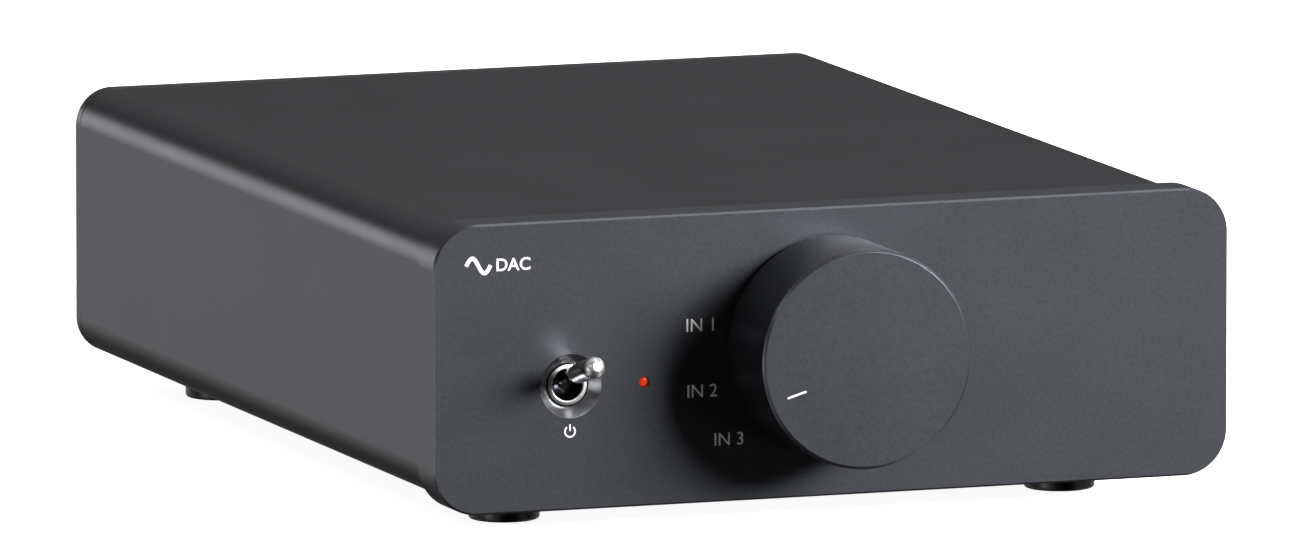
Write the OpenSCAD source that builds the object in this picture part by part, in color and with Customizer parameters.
// Compact desktop digital-to-analogue converter.
// An extruded aluminium sleeve on four screwed rubber feet is closed by a thick
// front plate and a thin rear plate. The front plate carries a source selector
// knob, a power toggle and an indicator. The main board slides into slots in
// the sleeve and carries the rear sockets.
// Millimetres. X to the right, Y from front to back, Z up, feet on Z = 0.

/* [Front plate] */
// Width of the front plate
plate_w = 105; // [98:0.5:115]
// Height of the front plate
plate_h = 36.2; // [35.5:0.1:38]
// Thickness of the front plate
plate_t = 5.8; // [5.4:0.1:6.4]
// Corner radius of the front plate
plate_r = 5.75; // [4:0.25:8]
// Bevel round the front face
plate_bevel = 0.4; // [0.2:0.1:0.8]

/* [Case] */
// How far the front plate stands proud of the sleeve all round
plate_lip = 0.95; // [0.3:0.05:1.2]
// Front face of the front plate to back face of the rear plate
case_depth = 140; // [130:1:170]
// Outer corner radius of the sleeve
sleeve_r = 4.8; // [4:0.1:6]
// Wall of the sleeve
wall = 2; // [1.6:0.1:2.2]
// Thickness of the rear plate
rear_t = 2; // [1.5:0.1:2.5]

/* [Feet] */
// Floor to the underside of the front plate
foot_clear = 3.4; // [2.8:0.1:5]
// Largest radius of a foot
foot_r = 4.45; // [3.8:0.05:5.5]
// Distance of the feet from the middle, across
foot_x = 36.9; // [30:0.1:40]
// Front face to the front feet
foot_front = 17.8; // [14:0.2:24]
// Front face to the rear feet
foot_rear = 125.6; // [100:0.2:127]

/* [Selector knob] */
// Radius of the knob
knob_r = 13.75; // [11:0.25:15]
// Length of the knob
knob_len = 13.1; // [12:0.1:16]
// Gap between the knob and the front plate
knob_gap = 0.6; // [0.6:0.1:1.5]
// Centre of the knob, across
knob_x = -0.5; // [-2:0.5:2]
// Centre of the knob above the underside of the front plate
knob_rise = 19; // [18:0.1:19.5]
// Pointer angle below the nine o'clock line at the middle source
pointer_angle = 23; // [0:1:45]

/* [Power toggle] */
// Centre of the toggle, across
toggle_x = -34.5; // [-36:0.1:-33]
// Centre of the toggle above the underside of the front plate
toggle_rise = 15.5; // [15:0.1:16.5]
// Lean of the lever in the on position
toggle_lean = 15; // [10:0.5:15]

/* [Indicator] */
// Centre of the indicator, across
light_x = -24.8; // [-26:0.1:-23]

/* [Hidden] */
$fn = 64;
gap = 0.05;                       // clearance round a piece that sits in a hole
case_w = plate_w - 2 * plate_lip;
case_h = plate_h - 2 * plate_lip;
case_z = foot_clear + plate_lip;  // underside of the sleeve
mid_z = foot_clear + plate_h / 2;
inner_w = case_w - 2 * wall;
inner_h = case_h - 2 * wall;
rear_u = case_depth - rear_t;     // inner face of the rear plate
jack_out = 8.8;                   // phono barrels beyond the rear plate
knob_out = knob_gap + knob_len;
y_face = knob_out - (knob_out + case_depth + jack_out) / 2;
knob_z = foot_clear + knob_rise;
toggle_z = foot_clear + toggle_rise;

// Screw channels in the corners of the sleeve
channel_in = 4.6;                 // channel axis inside the outer walls
channel_r = 2.9;
channel_x = case_w / 2 - channel_in;
channel_dz = case_h / 2 - channel_in;
case_screw_r = 1.5;

// Main board
board_t = 1.6;
board_z = case_z + 8.25;          // underside of the main board
top = board_z + board_t;          // component side of the main board
board_half = inner_w / 2 - 0.35;
board_u0 = 20;
board_u1 = rear_u - 0.5;
rib = 2.35;                       // depth of a board slot
rib_t = 1.4;
slot_gap = 0.1;

// Control board, upright behind the front plate
control_u = 17;
control_t = 1.6;
control_x0 = -41;
control_x1 = 12;
control_z0 = 9;
control_z1 = 34;

// Front brackets
bracket_x = 44.2;
bracket_ear_x = 40;
bracket_t = 1;
bracket_screw_z = mid_z + 2.5;
bracket_board_u = 25.5;
m2_5 = 1.2;                       // radius of a 2.5 mm screw

// Selector switch
shaft_r = 3;
shaft_flat = 1.5;                 // flat below the shaft axis
shaft_u0 = -11.2;
bush_r = 3.5;
nut_sink = 2.4;
nut_sink_r = 8;
switch_half = 8.5;
detent_angle = 45;
ball_r = 0.9;
ball_at = 6.97;
pin_ring = 5;
pin_angles = [150, 180, 210, 0];

// Toggle switch
pivot_u = 4.6;
mouth_u = 1.1;
dish_r = 3.95;
dish_u = 1.2;
toggle_bush_r = 2.6;
toggle_hole_r = 2.75;
toggle_body_u = 9.3;
toggle_half_w = 3.5;
toggle_half_h = 6.35;
rocker_u = 14.1;
rocker_lean = 10;
terminal_dz = 3.8;

// Rear sockets
phono_z = top + 10.2;
phono_r = 4.15;
phono_end = case_depth + jack_out;
left_x = -26;
right_x = -40;
coax_x = -6;
optical_x = 9;
usb_x = 24;
dc_x = 40;
dc_z = top + 6.5;
block_u = rear_u - 12;
block_h = 15.8;
door_u = rear_u + 0.3;
door_z = top + 8.25;
jack_screws = [[(left_x + right_x) / 2, top + 5.3], [coax_x, top + 2.1]];

// ---------- shared shapes ----------

// A round bar along Y, from depth u0 to u1 behind the front face
module rod(x, z, u0, u1, r)
    translate([x, y_face + u0, z]) rotate([-90, 0, 0]) cylinder(h = u1 - u0, r = r);

// A cone along Y
module taper(x, z, u0, u1, r0, r1)
    translate([x, y_face + u0, z]) rotate([-90, 0, 0])
        cylinder(h = u1 - u0, r1 = r0, r2 = r1);

// A block centred across x, from depth u and height z
module slab(x, u, z, w, d, h)
    translate([x - w / 2, y_face + u, z]) cube([w, d, h]);

// A turned piece with its axis along Y; points are [radius, depth]
module turned(x, z, points)
    translate([x, y_face, z]) rotate([-90, 0, 0]) rotate_extrude() polygon(points);

// A rectangle with true round corners
module round_outline(w, h, r) {
    square([w - 2 * r, h], center = true);
    square([w, h - 2 * r], center = true);
    for (sx = [-1, 1], sz = [-1, 1])
        translate([sx * (w / 2 - r), sz * (h / 2 - r)]) circle(r);
}

// An outline in X and Z carried from depth u0 to u1
module along_case(u0, u1)
    translate([0, y_face + u1, mid_z]) rotate([90, 0, 0])
        linear_extrude(height = u1 - u0) children();

// A hexagon nut along Y
module hex_nut_y(x, z, u0, u1, across, hole_r) {
    difference() {
        translate([x, y_face + u0, z]) rotate([-90, 0, 0])
            cylinder(h = u1 - u0, r = across / sqrt(3), $fn = 6);
        rod(x, z, u0 - 1, u1 + 1, hole_r);
    }
}

// A wire wound at radius ring, from z = 0 up
module coil(ring, wire, pitch, turns, sides = 6, steps = 14) {
    n = round(turns * steps);
    points = [
        for (i = [0:n], j = [0:sides - 1])
            let (a = 360 * turns * i / n, b = 360 * j / sides, r = ring + wire * cos(b))
            [r * cos(a), r * sin(a), wire + pitch * turns * i / n + wire * sin(b)]
    ];
    walls = [
        for (i = [0:n - 1], j = [0:sides - 1])
            let (k = (j + 1) % sides, p = i * sides)
            [p + j, p + sides + j, p + sides + k, p + k]
    ];
    first = [for (j = [0:sides - 1]) j];
    last = [for (j = [sides - 1:-1:0]) n * sides + j];
    polyhedron(points = points, faces = concat(walls, [first], [last]), convexity = 8);
}

// ---------- case ----------

// Thick plate with a bevelled front edge: round corners, joined by straight bars
module front_panel() color("#4b4d52") difference() {
    union() {
        for (sx = [-1, 1], sz = [-1, 1]) {
            x = sx * (plate_w / 2 - plate_r);
            z = mid_z + sz * (plate_h / 2 - plate_r);
            turned(x, z, [
                [0, 0], [plate_r - plate_bevel, 0], [plate_r, plate_bevel],
                [plate_r, plate_t], [0, plate_t]
            ]);
        }
        bevelled_bar(plate_w - 2 * plate_r, plate_h / 2, 0);
        bevelled_bar(plate_h - 2 * plate_r, plate_w / 2, 90);
    }
    // turned dish and hole for the toggle
    taper(toggle_x, toggle_z, -gap, dish_u, dish_r + gap, toggle_hole_r);
    rod(toggle_x, toggle_z, 0.5, plate_t + 1, toggle_hole_r);
    // selector bush, with a sunk seat for its nut
    rod(knob_x, knob_z, -1, plate_t + 1, bush_r + 0.1);
    rod(knob_x, knob_z, -1, nut_sink, nut_sink_r);
    // indicator
    rod(light_x, toggle_z, -1, plate_t + 1, 0.66);
    rod(light_x, toggle_z, 2.5, plate_t + 1, 1.3);
    // blind holes for the bracket screws
    for (sx = [-1, 1])
        rod(sx * bracket_x, bracket_screw_z, 1.8, plate_t + 1, m2_5 + gap);
}

// A bar as long as length, whose beveled edges lie half_span either side of the middle
module bevelled_bar(length, half_span, turn)
    translate([0, y_face, mid_z]) rotate([0, turn, 0])
        rotate([90, 0, 90]) linear_extrude(height = length, center = true)
            polygon([
                [plate_bevel, half_span], [plate_t, half_span],
                [plate_t, -half_span], [plate_bevel, -half_span],
                [0, plate_bevel - half_span], [0, half_span - plate_bevel]
            ]);

// Extruded tube with board slots and a screw channel in each corner
module case_sleeve() color("#46484c") difference() {
    along_case(plate_t, rear_u) sleeve_section();
    for (x = [-foot_x, foot_x], u = [foot_front, foot_rear])
        translate([x, y_face + u, case_z - 1]) cylinder(h = wall + 2, r = case_screw_r);
}

module sleeve_section() difference() {
    union() {
        difference() {
            round_outline(case_w, case_h, sleeve_r);
            round_outline(inner_w, inner_h, sleeve_r - wall);
        }
        for (sx = [-1, 1]) {
            for (z = [board_z - slot_gap - rib_t, top + slot_gap])
                translate([sx * (inner_w / 2 - rib / 2), z + rib_t / 2 - mid_z])
                    square([rib + 0.5, rib_t], center = true);
            for (sz = [-1, 1])
                translate([sx * channel_x, sz * channel_dz]) circle(channel_r);
        }
    }
    for (sx = [-1, 1], sz = [-1, 1])
        translate([sx * channel_x, sz * channel_dz]) circle(case_screw_r);
}

// Thin plate with a cut-out for each socket
module rear_panel() color("#46484c") difference() {
    along_case(rear_u, case_depth) round_outline(case_w, case_h, sleeve_r);
    for (sx = [-1, 1], sz = [-1, 1])
        rod(sx * channel_x, mid_z + sz * channel_dz, rear_u - 1, case_depth + 1, 1.6);
    for (x = [left_x, right_x, coax_x])
        rod(x, phono_z, rear_u - 1, case_depth + 1, 4.6);
    for (p = jack_screws) rod(p[0], p[1], rear_u - 1, case_depth + 1, 1.4);
    slab(optical_x, rear_u - 1, top - 0.1, 10.8, rear_t + 2, 10.7);
    slab(usb_x, rear_u - 1, top - 0.1, 12.4, rear_t + 2, 11.1);
    rod(dc_x, dc_z, rear_u - 1, case_depth + 1, 4);
}

// Button-head screw along -Y, entering at depth u, with a hexagon socket
module panel_screw(x, z, u, head_r, head_t, shank_r, length, socket) difference() {
    union() {
        taper(x, z, u, u + head_t, head_r, head_r * 0.72);
        rod(x, z, u - length, u + head_t / 2, shank_r);
    }
    translate([x, y_face + u + head_t * 0.35, z]) rotate([-90, 0, 0])
        cylinder(h = head_t, r = socket / sqrt(3), $fn = 6);
}

// Four screws that hold the rear plate on the sleeve
module case_screws() color("#2c2d30")
    for (sx = [-1, 1], sz = [-1, 1])
        panel_screw(sx * channel_x, mid_z + sz * channel_dz, case_depth,
            2.75, 1.6, case_screw_r - gap, 10, 2);

// Steel angle that ties the front plate to the main board
module bracket(side) {
    outer = side * bracket_x;
    difference() {
        union() {
            slab(outer, plate_t, top, 5, bracket_t, 16);
            slab(outer, plate_t, top, 5, 24.2, bracket_t);
            slab(side * (bracket_x - 2.5), board_u0 + 0.5, top, 10, 9.5, bracket_t);
        }
        rod(outer, bracket_screw_z, plate_t - 1, plate_t + 2, m2_5 + 0.1);
        translate([side * bracket_ear_x, y_face + bracket_board_u, top - 1])
            cylinder(h = 3, r = m2_5 + 0.1);
    }
}

module bracket_left() color("#c4c6c8") bracket(-1);
module bracket_right() color("#c4c6c8") bracket(1);

// Screws into the blind holes of the front plate
module bracket_panel_screws() color("#b8babd")
    for (sx = [-1, 1])
        panel_screw(sx * bracket_x, bracket_screw_z, plate_t + bracket_t,
            2.2, 1.5, m2_5, 4.8, 1.5);

// Screws through the brackets and the main board
module bracket_board_screws() color("#b8babd")
    for (sx = [-1, 1])
        translate([sx * bracket_ear_x, y_face + bracket_board_u, 0]) difference() {
            union() {
                translate([0, 0, top + bracket_t]) cylinder(h = 1.5, r1 = 2.2, r2 = 1.6);
                translate([0, 0, board_z - 2.4])
                    cylinder(h = board_t + bracket_t + 3, r = m2_5);
            }
            translate([0, 0, top + bracket_t + 0.7]) cylinder(h = 2, r = 0.85, $fn = 6);
        }

// Nuts under the main board
module bracket_nuts() color("#b8babd")
    for (sx = [-1, 1])
        translate([sx * bracket_ear_x, y_face + bracket_board_u, board_z - 2])
            difference() {
                cylinder(h = 2, r = 2.85, $fn = 6);
                translate([0, 0, -1]) cylinder(h = 4, r = m2_5 + gap);
            }

// Moulded rubber foot with a sunk seat for its screw
module foot(x, u) translate([x, y_face + u, 0]) rotate_extrude() polygon([
    [1.6, 1.7], [2.7, 1.7], [2.7, 0], [foot_r - 0.45, 0], [foot_r - 0.13, 0.13],
    [foot_r, 0.45], [foot_r, case_z], [1.6, case_z]
]);

module foot_front_left() color("#1b1c1e") foot(-foot_x, foot_front);
module foot_front_right() color("#1b1c1e") foot(foot_x, foot_front);
module foot_rear_left() color("#1b1c1e") foot(-foot_x, foot_rear);
module foot_rear_right() color("#1b1c1e") foot(foot_x, foot_rear);

// Screws that hold the feet to the sleeve
module foot_screws() color("#2c2d30")
    for (x = [-foot_x, foot_x], u = [foot_front, foot_rear])
        translate([x, y_face + u, 0]) difference() {
            union() {
                translate([0, 0, 0.5]) cylinder(h = 1.2, r1 = 1.9, r2 = 2.5);
                translate([0, 0, 1]) cylinder(h = case_z + wall, r = case_screw_r - gap);
            }
            translate([0, 0, -0.4]) cylinder(h = 1.6, r = 1.15, $fn = 6);
        }

// ---------- selector ----------

// Turned knob with a sunk back, a D-shaped bore and an engraved pointer
module knob() color("#4d4f54") difference() {
    turned(knob_x, knob_z, [
        [0, -knob_out], [knob_r - 0.5, -knob_out], [knob_r, 0.5 - knob_out],
        [knob_r, -knob_gap - 0.3], [knob_r - 0.3, -knob_gap], [0, -knob_gap]
    ]);
    rod(knob_x, knob_z, -3.8, 0, 9.5);
    d_bar(shaft_u0 - 0.2, 0, shaft_r + 0.03, shaft_flat + 0.03);
    grub_frame() translate([0, 0, 1.4]) cylinder(h = knob_r, r = 1.55);
    translate([knob_x, y_face - knob_out, knob_z]) rotate([0, pointer_angle, 0])
        translate([-11.4, -1, -0.2]) cube([2.7, 1.25, 0.4]);
}

// A round bar with a flat, along the selector axis
module d_bar(u0, u1, r, flat) difference() {
    rod(knob_x, knob_z, u0, u1, r);
    slab(knob_x, u0 - 1, knob_z - flat - r, 2 * r + 2, u1 - u0 + 2, r);
}

// The grub screw's own axis, pointing down out of the knob
module grub_frame()
    translate([knob_x, y_face - 7.5, knob_z]) rotate([180, 0, 0]) children();

// Headless screw that bears on the flat of the shaft
module knob_grub_screw() color("#3a3b3e")
    grub_frame() translate([0, 0, shaft_flat + 0.02]) difference() {
        union() {
            cylinder(h = 1, r1 = 0.8, r2 = 1.5);
            translate([0, 0, 1]) cylinder(h = 4.5, r = 1.5);
        }
        translate([0, 0, 3.5]) cylinder(h = 3, r = 0.87, $fn = 6);
    }

// Steel shaft, flatted where it enters the knob
module selector_shaft() color("#c2c4c8") {
    d_bar(shaft_u0, -2, shaft_r, shaft_flat);
    difference() {
        rod(knob_x, knob_z, -2, 13.4, shaft_r);
        turned(knob_x, knob_z, [[2.4, 6.9], [4, 6.9], [4, 7.4], [2.4, 7.4]]);
    }
}

// Snap ring in the groove of the shaft
module selector_clip() color("#8f9296") difference() {
    rod(knob_x, knob_z, 6.92, 7.38, 4.4);
    rod(knob_x, knob_z, 6, 8, 2.42);
    slab(knob_x, 6, knob_z - 5, 3.4, 2, 4.4);
}

// Die-cast bush and detent housing, fixed through the front plate
module selector_housing() color("#a9abae") difference() {
    union() {
        rod(knob_x, knob_z, -0.4, plate_t + 1, bush_r);
        slab(knob_x, plate_t, knob_z - switch_half, 2 * switch_half, 4.5, 2 * switch_half);
    }
    rod(knob_x, knob_z, -2, 12, shaft_r + gap);
    rod(knob_x, knob_z, plate_t + 1, 12, 6.3);
    detent_frame() translate([0, 0, 5]) cylinder(h = 5, r = ball_r + gap);
}

// Axis of the detent, at an angle in the plane of the star wheel
module detent_frame()
    translate([knob_x, y_face + 8.5, knob_z]) rotate([0, detent_angle, 0]) children();

module selector_nut() color("#b8babd")
    hex_nut_y(knob_x, knob_z, 0.1, 1.9, 10, bush_r + gap);

module selector_washer() color("#c4c6c8") difference() {
    rod(knob_x, knob_z, 1.9, nut_sink, 6.6);
    rod(knob_x, knob_z, 1, 3, bush_r + 0.1);
}

// Star wheel that gives the clicks
module selector_star() color("#d8d4c4") difference() {
    rod(knob_x, knob_z, 7.6, 9.6, 6);
    rod(knob_x, knob_z, 6, 12, shaft_r + 0.02);
    for (a = [0:30:330])
        translate([knob_x, y_face, knob_z]) rotate([0, detent_angle + a, 0])
            translate([0, 7, 6.65]) rotate([-90, 0, 0]) cylinder(h = 4, r = 1);
}

module selector_ball() color("#d0d2d6")
    detent_frame() translate([0, 0, ball_at]) sphere(ball_r);

module selector_spring() color("#b4b6ba")
    detent_frame() translate([0, 0, ball_at + ball_r])
        coil(0.62, 0.12, 0.45, 4);

// Moulded carrier with the sliding contact
module selector_wiper() color("#e6e2d6") {
    difference() {
        rod(knob_x, knob_z, 10.6, 12.2, 6);
        rod(knob_x, knob_z, 10, 14, shaft_r + 0.02);
    }
    slab(knob_x - 4.6, 12.2, knob_z - 0.7, 2.2, 0.9, 1.4);
    slab(knob_x + 4.6, 12.2, knob_z - 0.7, 2.2, 0.9, 1.4);
}

// Phenolic back of the selector
module selector_wafer() color("#6b4a2c") difference() {
    slab(knob_x, plate_t + 4.5, knob_z - switch_half,
        2 * switch_half, control_u - plate_t - 4.5, 2 * switch_half);
    rod(knob_x, knob_z, 10, 14.4, 6.5);
    for (a = pin_angles) selector_pin(a, 13, control_u + 1, 0.45);
}

module selector_pin(a, u0, u1, r)
    rod(knob_x + pin_ring * cos(a), knob_z + pin_ring * sin(a), u0, u1, r);

// Fixed contacts, with pins through the control board
module selector_contacts() color("#d9b45a")
    for (a = pin_angles) {
        selector_pin(a, 13.4, control_u + 3.2, 0.4);
        selector_pin(a, 13.4, 14.4, 1);
    }

// ---------- power toggle ----------

// Turns its children into the lever's own frame, with the tip towards -Y
module lever_frame()
    translate([toggle_x, y_face + pivot_u, toggle_z]) rotate([-toggle_lean, 0, 0])
        rotate([90, 0, 0]) children();

// Pressed frame with its bush
module toggle_frame() color("#d0d2d6") difference() {
    union() {
        rod(toggle_x, toggle_z, mouth_u, 9, toggle_bush_r);
        slab(toggle_x, 8.8, toggle_z - toggle_half_h - 0.5,
            2 * toggle_half_w, 0.5, 2 * toggle_half_h + 1);
        for (z = [toggle_z - toggle_half_h - 0.5, toggle_z + toggle_half_h])
            slab(toggle_x, 8.8, z, 5, 6.7, 0.5);
    }
    rod(toggle_x, toggle_z, 0, 6.2, 1.98);
    taper(toggle_x, toggle_z, 6.1, 9.5, 1.95, 2.4);
    translate([toggle_x, y_face + pivot_u, toggle_z]) rotate([0, 90, 0])
        cylinder(h = 6, r = 0.45, center = true);
}

// Moulded body, hollow round the rocker
module toggle_body() color("#20407a") difference() {
    slab(toggle_x, toggle_body_u, toggle_z - toggle_half_h,
        2 * toggle_half_w, control_u - toggle_body_u, 2 * toggle_half_h);
    slab(toggle_x, toggle_body_u - 1, toggle_z - 5, 4.4, 7.1, 10);
    for (dz = [-terminal_dz, 0, terminal_dz])
        slab(toggle_x, 15, toggle_z + dz - 0.25, 1.1, 3, 0.5);
}

// Bat lever: ball on a cross pin, neck, tapered bat with a domed end, hollow tail
module toggle_lever() color("#dcdee2") lever_frame() difference() {
    union() {
        sphere(1.92);
        rotate_extrude() polygon([
            [0, -4], [0.85, -4], [0.85, 0], [0.72, 2.2], [0.8, 3.4], [1.24, 7.6],
            [1.35, 12.6], [1.31, 13.3], [1.13, 13.9], [0.8, 14.3], [0.4, 14.5], [0, 14.55]
        ]);
        translate([0, 0, -7.2]) cylinder(h = 4, r = 0.85);
        rotate([0, 90, 0]) cylinder(h = 5, r = 0.4, center = true);
    }
    translate([0, 0, -8]) cylinder(h = 5, r = 0.6);
}

// Sprung plunger in the tail, with a round nose
module toggle_plunger() color("#efece2") lever_frame() {
    translate([0, 0, -8.05]) cylinder(h = 2.6, r = 0.55);
    translate([0, 0, -8.05]) sphere(0.55);
}

module toggle_spring() color("#b4b6ba") lever_frame()
    translate([0, 0, -5.4]) coil(0.42, 0.1, 0.4, 5);

// See-saw contact: a bent strip with a valley for the plunger, on a cross pin
module toggle_rocker() color("#d9b45a")
    translate([toggle_x, y_face + rocker_u, toggle_z]) rotate([rocker_lean, 0, 0]) {
        rotate([90, 0, 90]) linear_extrude(height = 2.4, center = true) polygon([
            [-0.65, 0], [-1.55, 2.5], [-0.65, 4.1], [-0.3, 4.1], [-1.15, 2.5], [-0.3, 0],
            [-1.15, -2.5], [-0.3, -4.1], [-0.65, -4.1], [-1.55, -2.5]
        ]);
        translate([-0.5, -0.5, -0.2]) cube([1, 0.5, 0.4]);
        rotate([0, 90, 0]) cylinder(h = 3, r = 0.35, center = true);
    }

// Three terminals: two with contact pads and a cradle in the middle
module toggle_terminals() color("#d9b45a") {
    for (dz = [-terminal_dz, 0, terminal_dz])
        slab(toggle_x, 15.3, toggle_z + dz - 0.2, 1, control_u + 3.5 - 15.3, 0.4);
    for (dz = [-terminal_dz, terminal_dz])
        slab(toggle_x, 14.6, toggle_z + dz - 0.6, 2.2, 0.8, 1.2);
    difference() {
        slab(toggle_x, rocker_u, toggle_z - 0.8, 3.2, 1.3, 1.6);
        translate([toggle_x, y_face + rocker_u, toggle_z]) rotate([0, 90, 0])
            cylinder(h = 5, r = 0.42, center = true);
    }
}

// ---------- indicator and control board ----------

// Clear rod that carries the lamp's light to the front face
module light_pipe() color("#d8401c")
    turned(light_x, toggle_z, [
        [0, 0.3], [0.45, 0.35], [0.62, 0.6], [0.62, 2.6], [1.22, 2.6], [1.22, 15.6],
        [0, 15.6]
    ]);

module power_led() color("#f0e6c8") {
    slab(light_x, 16.4, toggle_z - 0.8, 2, control_u - 16.4, 1.6);
    slab(light_x, 15.9, toggle_z - 0.6, 1.4, 0.5, 1.2);
}

// Upright board that carries the toggle, the selector and the lamp
module control_board() color("#1e5a3a") difference() {
    slab((control_x0 + control_x1) / 2, control_u, control_z0,
        control_x1 - control_x0, control_t, control_z1 - control_z0);
    for (dz = [-terminal_dz, 0, terminal_dz])
        slab(toggle_x, control_u - 1, toggle_z + dz - 0.3, 1.2, 4, 0.6);
    for (a = pin_angles) selector_pin(a, control_u - 1, control_u + 3, 0.5);
    for (i = [0:5])
        slab(link_x(i), control_u - 1, top + 1.4, 0.8, 4, 0.8);
}

function link_x(i) = -27 + 2.54 * i;

// Right-angled header between the two boards
module board_link() color("#1b1c1e") {
    slab(link_x(2.5), 22, top, 15.4, 2.5, 2.6);
    for (i = [0:5]) slab(link_x(i), 16, top + 1.5, 0.6, 6.5, 0.6);
}

// ---------- main board ----------

// Solder pins of the through-hole parts are left out, so the board has no pin holes
module main_board() color("#1e5a3a") difference() {
    slab(0, board_u0, board_z, 2 * board_half, board_u1 - board_u0, board_t);
    for (sx = [-1, 1])
        translate([sx * bracket_ear_x, y_face + bracket_board_u, board_z - 1])
            cylinder(h = board_t + 2, r = m2_5 + 0.1);
}

// Flat pack with legs on its two long sides, and on all four where asked
module flat_pack(x, u, w, d, h, legs, pitch, four) {
    span = (legs - 1) * pitch / 2;
    slab(x, u - d / 2, top + 0.15, w, d, h);
    for (i = [0:legs - 1], side = [-1, 1]) {
        at = i * pitch - span;
        slab(x + at, u + side * (d / 2 + 0.25) - 0.55, top, pitch * 0.45, 1.1, 0.3);
        if (four)
            slab(x + side * (w / 2 + 0.25), u + at - pitch * 0.22, top, 1.1,
                pitch * 0.45, 0.3);
    }
}

module usb_bridge_chip() color("#222326") flat_pack(20, 98, 10, 10, 1.4, 12, 0.8, true);
module dac_chip() color("#222326") flat_pack(-22, 88, 9.7, 4.4, 1, 14, 0.65, false);
module receiver_chip() color("#222326") flat_pack(2, 98, 9.7, 4.4, 1, 14, 0.65, false);

// Op-amps and voltage regulators
module small_chips() color("#222326") {
    for (x = [-38, -22]) flat_pack(x, 108, 4.9, 3.9, 1.4, 4, 1.27, false);
    for (p = [[34, 70], [14, 62], [-8, 60]]) {
        slab(p[0], p[1], top + 0.1, 6.5, 3.5, 1.6);
        slab(p[0], p[1] - 1.8, top, 3, 1.8, 0.5);
        for (dx = [-2.3, 0, 2.3]) slab(p[0] + dx, p[1] + 3.5, top, 0.8, 1.7, 0.4);
    }
}

module oscillators() color("#c9cbcf")
    for (p = [[34, 90], [34, 98], [8, 86]]) {
        slab(p[0], p[1], top, 5, 3.2, 1.1);
        slab(p[0], p[1] + 0.3, top, 4.4, 2.6, 1.3);
    }

// Can with a rolled groove near its foot
module can(x, u, r, h) translate([x, y_face + u, top]) rotate_extrude() polygon([
    [0, 0], [r, 0], [r, h * 0.14], [r - 0.35, h * 0.17], [r - 0.35, h * 0.21],
    [r, h * 0.24], [r, h - 0.4], [r - 0.4, h], [0, h]
]);

module supply_capacitors() color("#26304a")
    for (p = [[40, 112], [27, 82], [38, 58], [22, 50]]) can(p[0], p[1], 5, 13);

module signal_capacitors() color("#b8902e")
    for (p = [[-43, 98], [-35.5, 98], [-28, 98], [-14, 98], [-12, 74], [-26, 74]])
        can(p[0], p[1], 3.15, 7);

// Drum choke in the supply
module supply_choke() color("#4a3a30")
    translate([12, y_face + 44, top]) rotate_extrude() polygon([
        [0, 0], [6, 0], [6, 1.2], [4.6, 1.6], [4.6, 6.4], [6, 6.8], [6, 8], [0, 8]
    ]);

module mute_relay() color("#e8e6de") slab(-32, 114, top, 15, 7.5, 9);

// Rows of chip resistors and chip capacitors
module chip_parts() color("#b59a72") {
    for (i = [0:5], u = [82, 88]) slab(-45 + 3.2 * i, u, top, 1.25, 2, 0.6);
    for (i = [0:4]) slab(-4 + 3 * i, 106, top, 1.25, 2, 0.9);
    for (i = [0:4]) slab(12 + 3.2 * i, 108, top, 1.25, 2, 0.9);
    for (i = [0:3]) slab(-10 + 4 * i, 34, top, 1.6, 3.2, 0.7);
    for (i = [0:3]) slab(16 + 4 * i, 34, top, 1.6, 3.2, 0.7);
}

// ---------- rear sockets ----------

// Housing of one or more phono sockets, open for their barrels
module phono_block(x, w, sockets, screw) difference() {
    slab(x, block_u, top, w, rear_u - block_u, block_h);
    for (s = sockets) {
        rod(s, phono_z, rear_u - 4, rear_u + 1, 4.4 + gap);
        rod(s, phono_z, rear_u - 8, rear_u, 1.95 + gap);
    }
    rod(screw[0], screw[1], rear_u - 7, rear_u + 1, 1.25);
}

module output_jack_block() color("#1b1c1e")
    phono_block((left_x + right_x) / 2, 27.4, [left_x, right_x], jack_screws[0]);

module coax_jack_block() color("#1b1c1e")
    phono_block(coax_x, 11, [coax_x], jack_screws[1]);

// Plated barrels that a phono plug slides over
module phono_barrels() color("#d9b45a")
    for (x = [left_x, right_x, coax_x])
        turned(x, phono_z, [
            [3.65, rear_u - 4], [4.4, rear_u - 4], [4.4, case_depth],
            [phono_r, case_depth], [phono_r, phono_end], [3.65, phono_end]
        ]);

module phono_insulators() color("#e9e7e2")
    for (x = [left_x, right_x, coax_x])
        turned(x, phono_z, [
            [2, rear_u - 4], [3.6, rear_u - 4], [3.6, phono_end - 0.9],
            [2, phono_end - 0.9]
        ]);

// Centre contacts for a 3.2 mm plug pin
module phono_contacts() color("#d9b45a")
    for (x = [left_x, right_x, coax_x])
        turned(x, phono_z, [
            [0, rear_u - 8], [1.95, rear_u - 8], [1.95, phono_end - 1.2],
            [1.62, phono_end - 1.2], [1.62, rear_u - 4], [0, rear_u - 4]
        ]);

module jack_screws() color("#2c2d30")
    for (p = jack_screws)
        panel_screw(p[0], p[1], case_depth, 2.1, 1.2, 1.2, 8, 1.5);

// Optical receiver with a pocket for its door
module optical_body() color("#1b1c1e") difference() {
    slab(optical_x, rear_u - 14, top, 10.4, 15.2, 10.4);
    slab(optical_x, rear_u - 10, top + 1.3, 6.5, 10.7, 6.4);
    slab(optical_x, rear_u - 7, top + 7.6, 6.5, 7.7, 1.25);
    slab(optical_x, rear_u, top + 1.7, 6, 2, 5.9);
    translate([optical_x, y_face + door_u, door_z]) rotate([0, 90, 0])
        cylinder(h = 7.6, r = 0.4, center = true);
    rod(optical_x, top + 4.5, rear_u - 12, rear_u - 9, 1.2);
}

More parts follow.
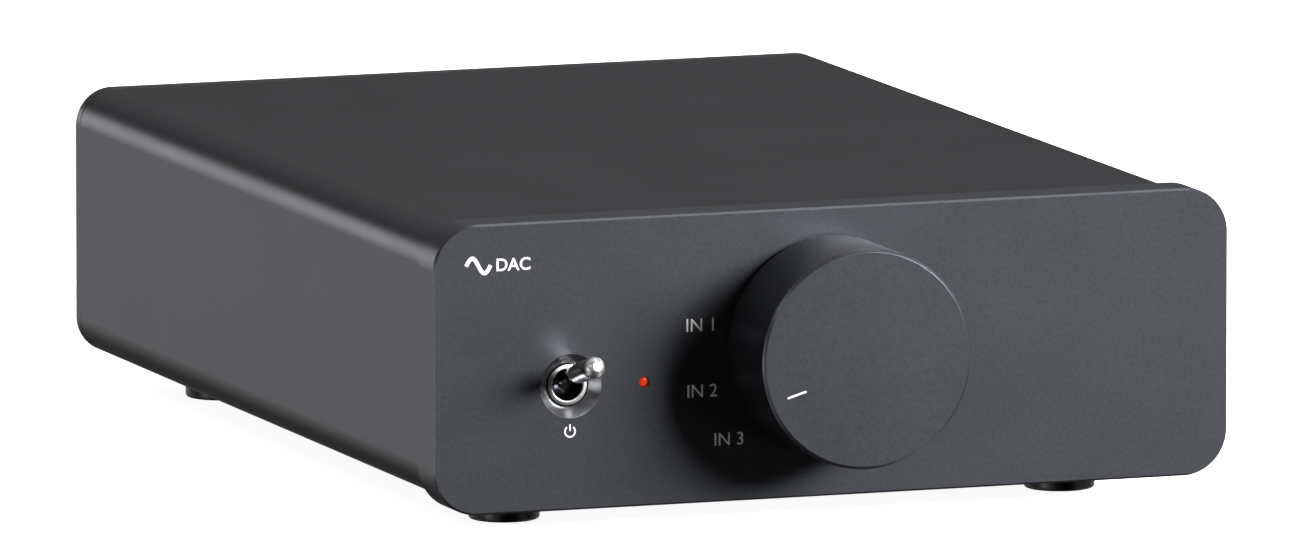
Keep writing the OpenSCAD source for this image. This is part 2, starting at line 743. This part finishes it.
// Sprung shutter that a plug pushes inwards
module optical_door() color("#3a3b3e") {
    slab(optical_x, door_u - 0.35, door_z - 6.75, 6.2, 0.7, 6.75);
    translate([optical_x, y_face + door_u, door_z]) rotate([0, 90, 0]) {
        cylinder(h = 6.2, r = 0.37, center = true);
        cylinder(h = 7.4, r = 0.34, center = true);
    }
}

// Opening of the square socket, with its two upper corners cut
module usb_mouth(u0, u1)
    translate([usb_x, y_face + u1, top + 5.4]) rotate([90, 0, 0])
        linear_extrude(height = u1 - u0)
            polygon([
                [-4.22, -3.89], [4.22, -3.89], [4.22, 2.3], [2.7, 3.89], [-2.7, 3.89],
                [-4.22, 2.3]
            ]);

module usb_shell() color("#c9cbcf") difference() {
    slab(usb_x, rear_u - 14, top, 12, 16.3, 10.8);
    slab(usb_x, rear_u - 13.6, top + 0.4, 11.2, 15.5, 10);
    usb_mouth(rear_u + 1, rear_u + 4);
}

// Moulded insert, with its tongue and four plated strips
module usb_insert() color("#e9e7e2") {
    difference() {
        slab(usb_x, rear_u - 13.6, top + 0.4, 11.2, 15.5, 10);
        usb_mouth(rear_u - 7.5, rear_u + 4);
    }
    slab(usb_x, rear_u - 8, top + 3.8, 5.6, 8.4, 3.2);
    for (dx = [-1.25, 1.25], dz = [-0.15, 3.2])
        slab(usb_x + dx, rear_u - 7.5, top + 3.8 + dz, 1, 6.8, 0.15);
}

// Supply socket with its centre pin
module dc_jack() color("#1b1c1e") {
    difference() {
        union() {
            slab(dc_x, rear_u - 14, top, 9, 14, 11);
            rod(dc_x, dc_z, rear_u - 1, case_depth, 3.9);
        }
        rod(dc_x, dc_z, rear_u - 8.5, case_depth + 1, 3.15);
    }
    rod(dc_x, dc_z, rear_u - 9, case_depth - 0.8, 1);
    translate([dc_x, y_face + case_depth - 0.8, dc_z]) sphere(1);
}

front_panel();
case_sleeve();
rear_panel();
case_screws();
bracket_left();
bracket_right();
bracket_panel_screws();
bracket_board_screws();
bracket_nuts();
foot_front_left();
foot_front_right();
foot_rear_left();
foot_rear_right();
foot_screws();
knob();
knob_grub_screw();
selector_shaft();
selector_clip();
selector_housing();
selector_nut();
selector_washer();
selector_star();
selector_ball();
selector_spring();
selector_wiper();
selector_wafer();
selector_contacts();
toggle_frame();
toggle_body();
toggle_lever();
toggle_plunger();
toggle_spring();
toggle_rocker();
toggle_terminals();
light_pipe();
power_led();
control_board();
board_link();
main_board();
usb_bridge_chip();
dac_chip();
receiver_chip();
small_chips();
oscillators();
supply_capacitors();
signal_capacitors();
supply_choke();
mute_relay();
chip_parts();
output_jack_block();
coax_jack_block();
phono_barrels();
phono_insulators();
phono_contacts();
jack_screws();
optical_body();
optical_door();
usb_shell();
usb_insert();
dc_jack();
